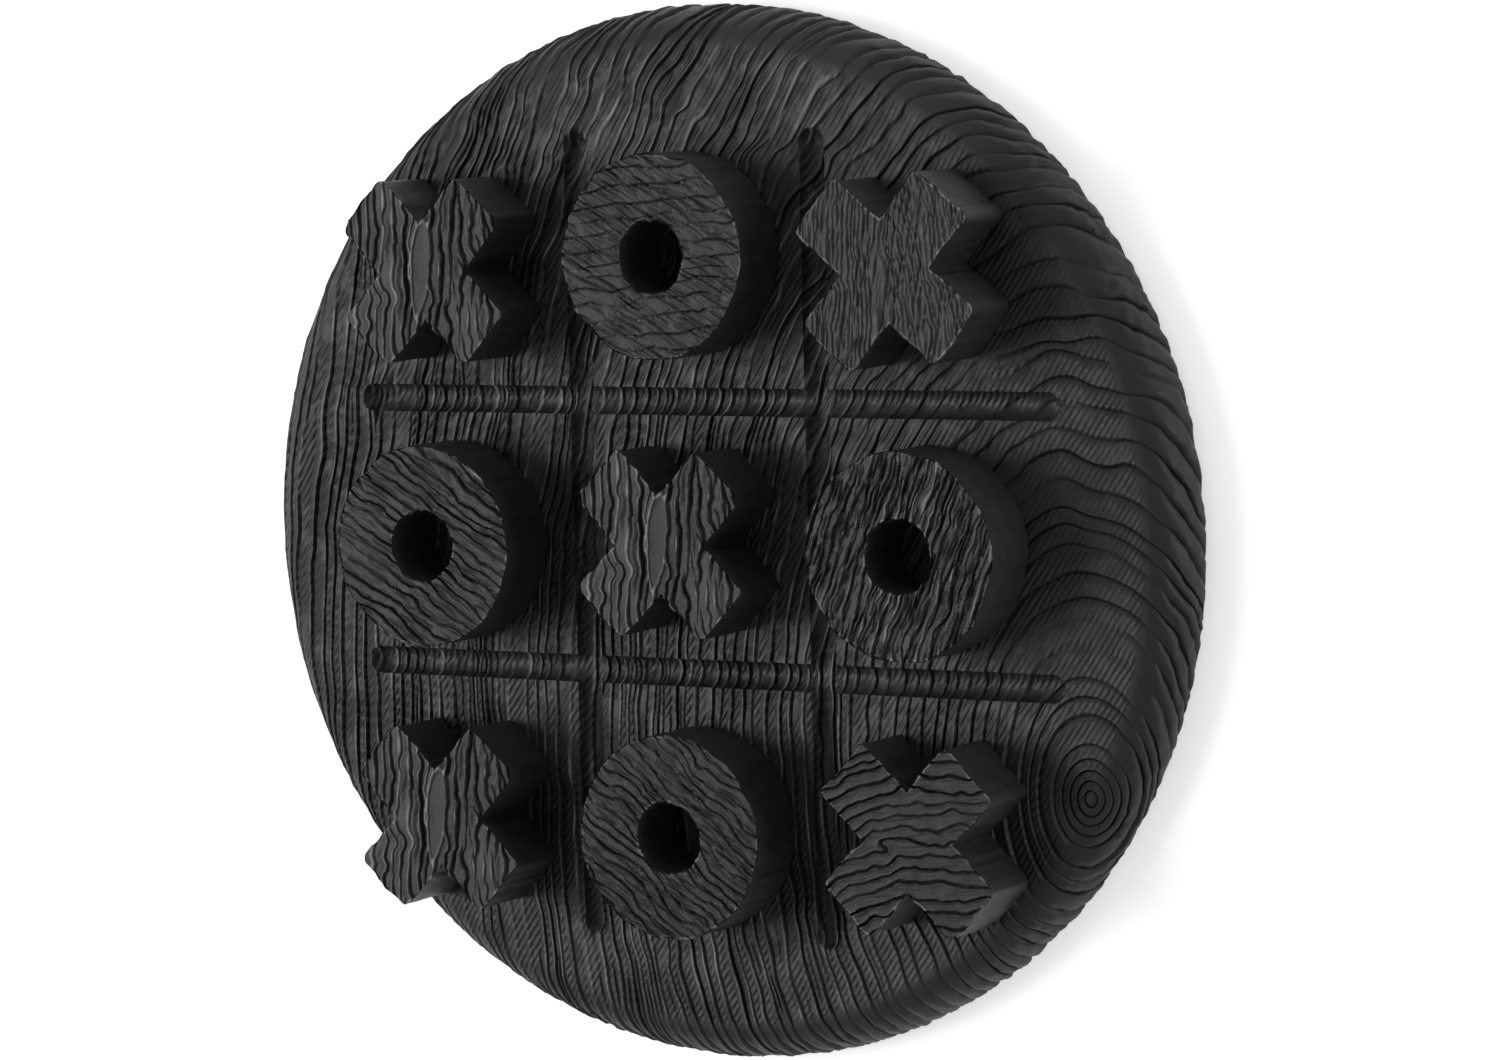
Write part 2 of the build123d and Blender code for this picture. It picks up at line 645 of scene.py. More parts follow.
        # No painted highlight on the crests on the right and on the rim: their tone reads at least this
        # deep, darker
        no_highlight_floor = self.NO_HIGHLIGHT_RIGHT * ease(x, 20.0, 100.0) * (1 - 0.75 * self.by_knot(x, y))
        no_highlight_floor = np.maximum(no_highlight_floor, self.NO_HIGHLIGHT_RIM * ease(past, 0.0, 4.0))
        tone = np.maximum(depth, no_highlight_floor)
        depth = depth * (1.0 - 0.4 * ease(past, 0.0, 5.0) + 0.4 * ease(past, 9.0, 18.0))
        scallop = self.scallop * (2.0 * ((ring + self.STEEP) % 1.0) - 1.0) ** 2
        depth = depth + scallop * ease(past, 4.0, 16.0) * ease(self.sheet_radius - out, 0.0, 4.0)
        lean = bend + tuck
        drop = self.groove_drop(x, y)
        reach = reach - depth * np.sin(lean)
        height = height - depth * np.cos(lean) - drop
        scale = reach / np.maximum(out, 0.001)
        move_points(piece, np.column_stack([x * scale, y * scale, height]))
        note_values(piece, "depth", tone)
        note_values(piece, "sawn", 1.0 - ease(past, 0.0, 2.0) * ease(x, -90.0, 10.0))


# ---------------------------------------------------------------- playing pieces


class Relief(Enum):
    """How the grain of a face stands: raised crests, or cracks in level ground."""

    CRESTS = "crests"
    CRACKS = "cracks"


@dataclass(frozen=True)
class Grain:
    """Carved grain on one face: rows of raised crests, each with one steep flank.

    Attributes:
        lean: direction of the crests from the X axis, in degrees.
        pitch: distance between crests, in millimetres.
        depth: height of a full crest, in millimetres.
        width: width of the steep flank, in millimetres.
        wave: how far the crests stray sideways, in millimetres.
        wave_span: length over which they stray, in millimetres.
        seed: which pattern it is.
        run: length over which a crest fades and comes back, in millimetres.
        relief: whether crests stand up or cracks cut down.
        base: how far the whole face lies under the crest plane, in millimetres.
        scratch_lean: direction of the fine scratches, in degrees.
        scratch_pitch: distance between them, in millimetres.
        scratch_depth: their depth, in millimetres.
    """

    lean: float
    pitch: float
    depth: float
    width: float
    wave: float = 1.2
    wave_span: float = 14.0
    seed: int = 1
    run: float = 12.0
    relief: Relief = Relief.CRESTS
    base: float = 0.0
    scratch_lean: float = 50.0
    scratch_pitch: float = 1.7
    scratch_depth: float = 0.16

    def across(self, x: np.ndarray, y: np.ndarray, lean: float) -> np.ndarray:
        """Give the distance of each point across lines of a given lean, in millimetres."""
        turn = math.radians(lean)
        return y * math.cos(turn) - x * math.sin(turn)

    def rows(self, x: np.ndarray, y: np.ndarray) -> np.ndarray:
        """Give the place of each point across the wavering rows of crests.

        Args:
            x: millimetres along +X from the piece's middle.
            y: millimetres along +Y from the piece's middle.

        Returns:
            Place across the rows, in millimetres.
        """
        waves = (
            (self.wave, self.wave_span, self.seed),
            (0.5 * self.wave, self.wave_span / 2.4, self.seed + 50),
        )
        return self.across(x, y, self.lean) + layers(waves, x, y)

    def ridges(self, rows: np.ndarray, x: np.ndarray, y: np.ndarray, seed: int) -> np.ndarray:
        """Give the depth between one set of crests, or in one set of cracks.

        Args:
            rows: place across the rows, in millimetres.
            x: millimetres along +X from the piece's middle.
            y: millimetres along +Y from the piece's middle.
            seed: which pattern of spacing and fading it is.

        Returns:
            Depth in millimetres. A crack's lips rise a little over the ground, as negative depth.
        """
        count = rows / self.pitch
        count = count + 0.3 * Drift(2.0, seed + 7).at(count, np.zeros(len(count)))
        lower = np.floor(count).astype(np.int64)
        share = count - lower
        near, far = (self.crest_force(crest, x, y, seed) for crest in (lower, lower + 1))
        blend = ease(share, 0.1, 0.8)
        force = near * (1 - blend) + far * blend
        if self.relief is Relief.CRACKS:
            away = np.minimum(share, 1 - share) * self.pitch / self.width
            lip = 0.2 * np.exp(-((away - 2.2) ** 2))
            return self.depth * force * (np.exp(-(away**2)) - lip)
        steep = min(0.3, self.width / self.pitch)
        return self.depth * ridge_depth(share, steep) * force

    def crest_force(self, crest: np.ndarray, x: np.ndarray, y: np.ndarray, seed: int) -> np.ndarray:
        """Give how strongly a crest stands out at each point.

        Args:
            crest: the number of the crest beside each point.
            x: millimetres along +X from the piece's middle.
            y: millimetres along +Y from the piece's middle.
            seed: which pattern of fading it is.

        Returns:
            0.06 where the crest is all but gone, to 1.2.
        """
        luck = 0.5 + 0.5 * Drift(1.0, seed + 9).corner(crest, np.int64(seed))
        along = Drift(self.run, seed + 11).at(x + 23.0 * luck, y + 31.0 * luck)
        return np.clip(0.65 + 0.4 * luck + 0.55 * along, 0.06, 1.2)

    def depth_at(self, x: np.ndarray, y: np.ndarray) -> np.ndarray:
        """Give how deep the face is carved at points measured from its middle.

        Args:
            x: millimetres along +X from the piece's middle.
            y: millimetres along +Y from the piece's middle.

        Returns:
            Depth under the crests, 0 or more.
        """
        carved = self.base + self.ridges(self.rows(x, y), x, y, self.seed)
        return carved + self.scratches(x, y) + 0.1 * (1 + Drift(5.0, self.seed + 21).at(x, y))

    def scratches(self, x: np.ndarray, y: np.ndarray) -> np.ndarray:
        """Give the depth of the fine scratches that cross the grain.

        Args:
            x: millimetres along +X from the piece's middle.
            y: millimetres along +Y from the piece's middle.

        Returns:
            Depth in millimetres, 0 between scratches.
        """
        rows = self.across(x, y, self.scratch_lean) + 0.5 * Drift(9.0, self.seed + 31).at(x, y)
        turn = math.radians(self.scratch_lean)
        along = x * math.cos(turn) + y * math.sin(turn)
        long = Drift(1.0, self.seed + 33).at(along / 12.0, rows / (0.5 * self.scratch_pitch))
        short = Drift(1.0, self.seed + 35).at(along / 5.0, rows / (0.3 * self.scratch_pitch))
        return self.scratch_depth * (ease(long, 0.0, 0.8) + 0.5 * ease(short, 0.0, 0.8))


@dataclass(frozen=True)
class BraidedGrain(Grain):
    """Upright crevices that braid on the right half, with a smooth lens in the middle.

    Attributes:
        lens_middle: middle of the lens, in millimetres.
        lens_half: half its width and half its length, in millimetres.
        lens_slant: how far it leans to the right for each millimetre up.
        lens_taper: how far its half width grows for each millimetre up.
    """

    lens_middle: tuple[float, float] = (-0.6, 1.0)
    lens_half: tuple[float, float] = (3.7, 17.0)
    lens_slant: float = 0.12
    lens_taper: float = 0.06

    def depth_at(self, x: np.ndarray, y: np.ndarray) -> np.ndarray:
        """Give how deep the face is carved.

        Args:
            x: millimetres along +X from the piece's middle.
            y: millimetres along +Y from the piece's middle.

        Returns:
            Depth under the crests, 0 or more.
        """
        carved = super().depth_at(x, y)
        second = self.ridges(self.rows(x, y) - 0.25 * y, x, y, self.seed + 60)
        carved = np.maximum(carved, second * ease(x, 2.0, 9.0))
        half_width = self.lens_half[0] + self.lens_taper * y
        aside = (x - self.lens_middle[0] - self.lens_slant * y) / half_width
        lens = aside**2 + ((y - self.lens_middle[1]) / self.lens_half[1]) ** 2
        smooth = 0.5 + 0.15 * Drift(6.0, self.seed + 71).at(x, y)
        rib = 0.5 * np.exp(-(((lens - 1.0) / 0.16) ** 2))
        return np.maximum(smooth + (carved - smooth) * ease(lens, 0.8, 1.1) - rib, 0.0)


@dataclass(frozen=True)
class CathedralGrain(Grain):
    """Fine grain in nested arches, upright on the left and leaning on the right.

    Attributes:
        peak: place of the arches' peaks along X, in millimetres.
        peak_round: how blunt the innermost arch is, in millimetres.
    """

    peak: float = -2.0
    peak_round: float = 1.5

    def rows(self, x: np.ndarray, y: np.ndarray) -> np.ndarray:
        """Give the place across the arches.

        Args:
            x: millimetres along +X from the piece's middle.
            y: millimetres along +Y from the piece's middle.

        Returns:
            Place across the rows, in millimetres.
        """
        from_peak = x - self.peak
        spread = np.where(from_peak > 0, 0.2, 0.04) * y * np.tanh(abs(from_peak) / 6)
        arch = np.hypot(from_peak, self.peak_round) + spread
        return arch + self.wave * Drift(self.wave_span, self.seed).at(x, y)


@dataclass(frozen=True)
class KnotGrain(Grain):
    """Level grain that parts round a pin knot and falls away on the left.

    Attributes:
        knot: middle of the pin knot, in millimetres.
        knot_part: how far it pushes the rows apart, in millimetres.
        fall: how far the rows fall for each millimetre to the left of the middle.
    """

    knot: tuple[float, float] = (-8.0, -1.4)
    knot_part: float = 2.2
    fall: float = 0.38

    def rows(self, x: np.ndarray, y: np.ndarray) -> np.ndarray:
        """Give the place across the level rows.

        Args:
            x: millimetres along +X from the piece's middle.
            y: millimetres along +Y from the piece's middle.

        Returns:
            Place across the rows, in millimetres.
        """
        fall = self.fall * np.maximum(-(x + 3.0), 0.0)
        aside, above = x - self.knot[0], y - self.knot[1]
        part = self.knot_part * np.tanh(above / 1.5) * np.exp(-((aside / 8) ** 2) - (above / 6) ** 2)
        return super().rows(x, y) + fall - part


class Shape(Enum):
    """The two kinds of playing piece."""

    CROSS = "x"
    RING = "o"


@dataclass
class PieceBlank:
    """An uncarved playing piece at the origin, standing on its underside.

    Attributes:
        height: height of the piece, in millimetres as all lengths here are.
        bar_length: length of each bar of a cross.
        bar_width: width of each bar of a cross.
        corner_round: radius of a cross's outer corners.
        ring_radius: outer radius of a ring.
        hole_radius: radius of a ring's hole.
        under_ease: how far inside the walls a ring's underside is cut across.
        arm_cells: faces along each arm of a cross.
        middle_cells: faces across the middle of a cross.
        ring_steps: faces round a ring.
        face_steps: faces from a ring's hole to its outer edge.
        wall_steps: even rows of faces down a wall.
    """

    height: float = 26.0
    bar_length: float = 67.0
    bar_width: float = 24.0
    corner_round: float = 3.0
    ring_radius: float = 34.3
    hole_radius: float = 12.2
    under_ease: float = 6.0
    arm_cells: int = 70
    middle_cells: int = 78
    ring_steps: int = 600
    face_steps: int = 62
    wall_steps: int = 14

    def make(self, shape: Shape) -> bpy.types.Object:
        """Make a blank of one shape."""
        return self.cross() if shape is Shape.CROSS else self.ring()

    def cross(self) -> bpy.types.Object:
        """Make two crossed bars, turned onto the diagonals, from a square grid.

        Returns:
            The closed cross.
        """
        cells = 2 * self.arm_cells + self.middle_cells
        piece = start_grid("cross_blank", cells, cells)
        column, row = grid_steps(piece, cells, cells)
        half, side = self.bar_length / 2, self.bar_width / 2
        steps = (0, self.arm_cells, self.arm_cells + self.middle_cells, cells)
        x = np.interp(column, steps, (-half, -side, side, half))
        y = np.interp(row, steps, (-half, -side, side, half))
        move_points(piece, np.column_stack([x, y, np.full(len(x), self.height)]))
        pick(piece, (abs(x) > side - 0.01) & (abs(y) > side - 0.01))
        with Editing(piece):
            bpy.ops.mesh.delete(type="FACE")
        self.round_corners(piece)
        self.drop_walls(piece)
        close_underside(piece)
        piece.data.transform(Matrix.Rotation(math.pi / 4, 4, "Z"))
        return piece

    def round_corners(self, piece: bpy.types.Object) -> None:
        """Draw the square outer corners of a cross in to quarter circles.

        Args:
            piece: the flat face of a cross, its bars along X and Y.
        """
        place = points_of(piece)
        half, side = self.bar_length / 2, self.bar_width / 2
        for long, short in ((0, 1), (1, 0)):
            a = (abs(place[:, long]) - (half - self.corner_round)) / self.corner_round
            b = (abs(place[:, short]) - (side - self.corner_round)) / self.corner_round
            corner = (a > 0) & (b > 0) & (a < 1.01) & (b < 1.01)
            a, b = a[corner], b[corner]
            far = half - self.corner_round + self.corner_round * a * np.sqrt(1 - b * b / 2)
            wide = side - self.corner_round + self.corner_round * b * np.sqrt(1 - a * a / 2)
            place[corner, long] = np.sign(place[corner, long]) * far
            place[corner, short] = np.sign(place[corner, short]) * wide
        move_points(piece, place)

    def drop_walls(self, piece: bpy.types.Object) -> None:
        """Extrude the open edge of a face down to the underside, a row at a time.

        Args:
            piece: the flat face.
        """
        with Editing(piece, "EDGE"):
            select_open_edges()
            for drop in self.wall_drops():
                bpy.ops.mesh.extrude_region_move(
                    TRANSFORM_OT_translate={"value": (0.0, 0.0, -drop * MM)}
                )

    def wall_drops(self) -> list[float]:
        """Share out the wall's height: small rows at the top, then even ones.

        Returns:
            The height of each row, from the top down.
        """
        first = [0.5, 0.8]
        rest = (self.height - sum(first)) / self.wall_steps
        return first + [rest] * self.wall_steps

    def ring(self) -> bpy.types.Object:
        """Make a thick ring by extruding a circle out over the face and round the section.

        Returns:
            The closed ring.
        """
        clear_selection()
        bpy.ops.mesh.primitive_circle_add(
            vertices=self.ring_steps, radius=self.hole_radius * MM, fill_type="NOTHING",
            location=(0.0, 0.0, self.height * MM),
        )
        piece = bpy.context.active_object
        piece.name = "ring_blank"
        piece.data.transform(Matrix.Translation((0.0, 0.0, self.height * MM)))
        piece.location = (0.0, 0.0, 0.0)
        section = self.ring_section()
        with Editing(piece, "EDGE"):
            bpy.ops.mesh.select_all(action="SELECT")
            for (radius, height), (last_radius, last_height) in zip(section[1:], section):
                grow = radius / last_radius
                bpy.ops.mesh.extrude_region_move(
                    TRANSFORM_OT_translate={"value": (0.0, 0.0, (height - last_height) * MM)}
                )
                bpy.ops.transform.resize(value=(grow, grow, 1.0), center_override=(0.0, 0.0, 0.0))
            bpy.ops.mesh.select_all(action="SELECT")
            bpy.ops.mesh.remove_doubles(threshold=WELD * MM)
            face_outwards()
        return piece

    def ring_section(self) -> list[tuple[float, float]]:
        """List the points round a ring's section.

        Returns:
            Radius and height of each, from the hole's upper edge out, down, in and back up to it.
        """
        inner, outer = self.hole_radius, self.ring_radius
        face = [(float(r), self.height) for r in np.linspace(inner, outer, self.face_steps + 1)]
        levels = self.height - np.cumsum(self.wall_drops())
        wall = [(outer, float(z)) for z in levels]
        under = [(outer - self.under_ease, 0.0), (inner + self.under_ease, 0.0)]
        bore = [(inner, float(z)) for z in levels[::-1]]
        return face + wall + under + bore + [(inner, self.height)]


@dataclass
class PlayingPiece:
    """One carved X or O piece, where it has been set down.

    Attributes:
        node: the CAD node that it stands for.
        body: the body that it rides on.
        grain: the carving on its face.
        turn: turn from square, in degrees.
        height: height of the blank, in millimetres.
        edge_ease: how far the edge of the face is worn down, in millimetres.
        edge_draw: how far it is worn in, in millimetres.
        edge_width: width of the painted highlight along it, in millimetres.
        around_radius: radius on which the ripples of the walls are laid out, in millimetres.
    """

    node: str
    body: str
    grain: Grain
    turn: float = 0.0
    height: float = 26.0
    edge_ease: float = 0.35
    edge_draw: float = 0.3
    edge_width: float = 0.55
    around_radius: float = 34.0

    def build(self, blank: bpy.types.Object, material: bpy.types.Material) -> bpy.types.Object:
        """Copy the blank, carve it, set it down and dress it.

        Args:
            blank: the uncarved piece.
            material: the piece's material.

        Returns:
            The finished piece.
        """
        piece = bpy.data.objects.new("carved_" + self.node, blank.data.copy())
        bpy.context.scene.collection.objects.link(piece)
        piece.data.name = piece.name
        piece.data.transform(Matrix.Rotation(math.radians(self.turn), 4, "Z"))
        self.carve(piece)
        low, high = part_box(self.node)
        middle = (low + high) / 2
        piece.data.transform(Matrix.Translation((middle.x, middle.y, low.z)))
        shade(piece, crease_deg=42.0)
        dress(piece, self.body, self.node, material)
        return piece

    def carve(self, piece: bpy.types.Object) -> None:
        """Carve the face, break its edge and ripple the walls.

        Depth and sawn are stored for the material, as on the board: walls count as open ground,
        and the edges of the face get the palest tone, a painted highlight.

        Args:
            piece: the piece, standing at the origin.
        """
        place = points_of(piece)
        outward = read_all(piece.data.vertices, "normal", 3, float)
        outward[:, 2] = 0.0
        x, y, z = place.T
        seed = self.grain.seed
        # A ragged outline
        sway = [layers(((0.45, 8.0, seed + n), (0.3, 2.6, seed + n + 2)), x, y) for n in (91, 92)]
        place = place + np.column_stack([*sway, np.zeros(len(x))])
        # The face, with its edge worn down
        face = z > self.height - 0.01
        edge = face & (np.hypot(outward[:, 0], outward[:, 1]) > 0.3)
        depth = np.where(face, self.grain.depth_at(x, y), 0.0)
        depth = depth + np.where(edge, self.edge_ease, 0.0)
        # The walls, rippled down their height and along it
        wall = ~face & (z > 0.01)
        around = np.arctan2(y, x) * self.around_radius
        ripple = 0.25 * Drift(2.6, seed + 81).at(around, z * 0.15)
        ripple = ripple + 0.28 * Drift(6.0, seed + 83).at(around, z)
        ripple = ripple + 0.12 * Drift(1.8, seed + 85).at(around, z)
        fade = ease(z, 0.0, 2.0)
        push = np.where(wall, ripple * fade, 0.0) - np.where(edge, self.edge_draw, 0.0)
        place = place + outward * push[:, None]
        place[:, 2] -= depth
        move_points(piece, place)
        # Painted highlight: the tone is lifted palest along the face's edge
        highlight_near_edge = self.near_edge(place, edge) * (0.6 + 0.4 * Drift(3.0, seed + 95).at(x, y))
        note_values(piece, "depth", np.where(face, depth - highlight_near_edge, 0.34))
        note_values(piece, "sawn", np.where(face, 1.0, 0.0))

    def near_edge(self, place: np.ndarray, edge: np.ndarray) -> np.ndarray:
        """Give how close each point lies to the edge of the face.

        Args:
            place: every point of the piece, in millimetres.
            edge: True for each point on the edge.

        Returns:
            1 on the edge, down to about 0 at twice the width of the painted highlight.
        """
        rim = KDTree(int(edge.sum()))
        for number, point in enumerate(place[edge]):
            rim.insert(point, number)
        rim.balance()
        away = np.full(len(place), self.height)
        top = np.flatnonzero(place[:, 2] > self.height - 3.0)
        away[top] = [rim.find(place[number])[2] for number in top]
        return np.exp(-((away / self.edge_width) ** 2))


@dataclass
class Pieces:
    """All nine playing pieces.

    Attributes:
        braided: the carving that three of the X pieces share.
    """

    braided: Grain = BraidedGrain(
        lean=87.0, pitch=3.9, depth=1.4, width=0.6, wave=1.9, wave_span=11.0, seed=101,
        scratch_depth=0.06,
    )

    def build(self) -> list[bpy.types.Object]:
        """Make the two blanks, carve every piece from them, and put the blanks away.

        Returns:
            The nine finished pieces.
        """
        blanks = {shape: PieceBlank().make(shape) for shape in Shape}
        finish = CastResin("cast_resin_pieces", saw_pitch=1.1, saw_depth=0.015, skin_depth=0.09)
        material = finish.material()
        made = []
        for shape, piece in self.crosses() + self.rings():
            made.append(piece.build(blanks[shape], material))
        for blank in blanks.values():
            bpy.data.objects.remove(blank)
        return made

    def crosses(self) -> list[tuple[Shape, PlayingPiece]]:
        """Describe the five X pieces. Three of them come from one mould.

        Returns:
            The shape and the description of each piece.
        """
        arches = CathedralGrain(
            lean=90.0, pitch=1.7, depth=0.34, width=0.45, wave=1.2, wave_span=9.0, seed=131,
            base=0.22, scratch_lean=80.0, scratch_pitch=1.3, scratch_depth=0.3,
        )
        knotted = KnotGrain(
            lean=1.0, pitch=4.4, depth=1.2, width=0.33, wave=1.5, wave_span=10.0, seed=141,
            run=20.0, relief=Relief.CRACKS, base=0.4,
            scratch_lean=4.0, scratch_pitch=1.4, scratch_depth=0.14,
        )
        plan = (
            ("top_left", self.braided, 1.5),
            ("top_right", arches, 4.5),
            ("centre", self.braided, 180.0),
            ("bottom_left", self.braided, 1.5),
            ("bottom_right", knotted, 0.5),
        )
        return [
            (Shape.CROSS, PlayingPiece(f"x_piece_{cell}", f"x_{cell}", grain, turn))
            for cell, grain, turn in plan
        ]

    def rings(self) -> list[tuple[Shape, PlayingPiece]]:
        """Describe the four O pieces, each with grain of its own.

        Returns:
            The shape and the description of each piece.
        """
        plan = (
            ("top", Grain(lean=5.0, pitch=4.8, depth=0.48, width=0.24, wave=1.3, seed=151,
                          run=7.0, relief=Relief.CRACKS, base=0.4,
                          scratch_lean=-27.0, scratch_pitch=1.6, scratch_depth=0.5)),
            ("left", Grain(lean=-33.0, pitch=3.9, depth=1.0, width=0.32, wave=1.8, seed=161,
                           run=20.0, relief=Relief.CRACKS, base=0.4,
                           scratch_lean=-28.0, scratch_pitch=1.6, scratch_depth=0.36)),
            ("right", Grain(lean=72.0, pitch=3.5, depth=1.0, width=0.42, wave=1.6, seed=171,
                            scratch_lean=66.0, scratch_pitch=1.6, scratch_depth=0.7)),
            ("bottom", Grain(lean=-38.0, pitch=3.6, depth=0.75, width=0.3, wave=2.4, seed=181,
                             run=20.0, relief=Relief.CRACKS, base=0.4,
                             scratch_lean=-32.0, scratch_pitch=1.5, scratch_depth=0.45)),
        )
        return [
            (Shape.RING, PlayingPiece(f"o_piece_{cell}", f"o_{cell}", grain))
            for cell, grain in plan
        ]


# ---------------------------------------------------------------- felt pads


@dataclass
class FeltPads:
    """The four felt discs under the board.

    Attributes:
        nodes: the CAD nodes that they stand for.
        radius: radius of a pad, in millimetres.
        thickness: thickness of a pad, in millimetres.
        edge_round: how far the cut edges are worn, in millimetres.
        sides: how many faces there are round a pad.
    """

    nodes: tuple[str, ...] = (
        "felt_pad_back_right", "felt_pad_back_left", "felt_pad_front_left", "felt_pad_front_right",
    )
    radius: float = 10.0
    thickness: float = 1.5
    edge_round: float = 0.3
    sides: int = 72

    def build(self) -> list[bpy.types.Object]:
        """Make each pad at its node and dress it.

        Returns:
            The four finished pads.
        """
        material = PressedFelt().material()
        made = []
        for node in self.nodes:
            low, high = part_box(node)
            middle = (low + high) / 2
            clear_selection()
            bpy.ops.mesh.primitive_cylinder_add(
                vertices=self.sides, radius=self.radius * MM, depth=self.thickness * MM,
                location=(0.0, 0.0, 0.0),
            )
            pad = bpy.context.active_object
            pad.name = "soft_" + node
            with Editing(pad):
                bpy.ops.mesh.select_all(action="SELECT")
                bpy.ops.mesh.bevel(offset=self.edge_round * MM, segments=3, affect="EDGES")
                face_outwards()
            pad.data.transform(Matrix.Translation(middle))
            self.fray(pad)
            shade(pad, crease_deg=40.0)
            dress(pad, "board", node, material)
            made.append(pad)
        return made

    def fray(self, pad: bpy.types.Object) -> None:
        """Pull the cut edge in a little here and there, as scissors and fibres leave it.

        Args:
            pad: the finished disc, in its place.
        """
        place = points_of(pad)
        middle = place.mean(axis=0)
        from_middle = place[:, :2] - middle[:2]
        uneven = 1.0 - 0.012 * (1.0 + Drift(1.3, 201).at(place[:, 0], place[:, 1]))
        place[:, :2] = middle[:2] + from_middle * uneven[:, None]
        move_points(pad, place)


# ---------------------------------------------------------------- finishes


def linear(code: str) -> tuple[float, float, float, float]:
    """Turn an sRGB hex colour into a linear one.

    Args:
        code: the colour, such as "#2b2c2d".

    Returns:
        Linear red, green and blue, and alpha 1.
    """
    parts = [int(code[start : start + 2], 16) / 255 for start in (1, 3, 5)]
    parts = [c / 12.92 if c <= 0.04045 else ((c + 0.055) / 1.055) ** 2.4 for c in parts]
    return (*parts, 1.0)


def add_node(tree: bpy.types.NodeTree, kind: str, inputs: dict, **settings: object) -> bpy.types.Node:
    """Add a node with its settings, and fill or link its inputs.

    Args:
        tree: the node tree.
        kind: the node's type name.
        inputs: input name or number to a value, or to a socket to link from.
        settings: properties of the node itself.

    Returns:
        The node.
    """
    made = tree.nodes.new(kind)
    for name, value in settings.items():
        setattr(made, name, value)
    for name, value in inputs.items():
        if isinstance(value, bpy.types.NodeSocket):
            tree.links.new(value, made.inputs[name])
        else:
            made.inputs[name].default_value = value
    return made


def start_material(name: str) -> bpy.types.Material:
    """Add a material with an empty node tree.

    Args:
        name: the material's name.

    Returns:
        The material.
    """
    made = bpy.data.materials.new(name)
    made.use_nodes = True
    made.node_tree.nodes.clear()
    return made


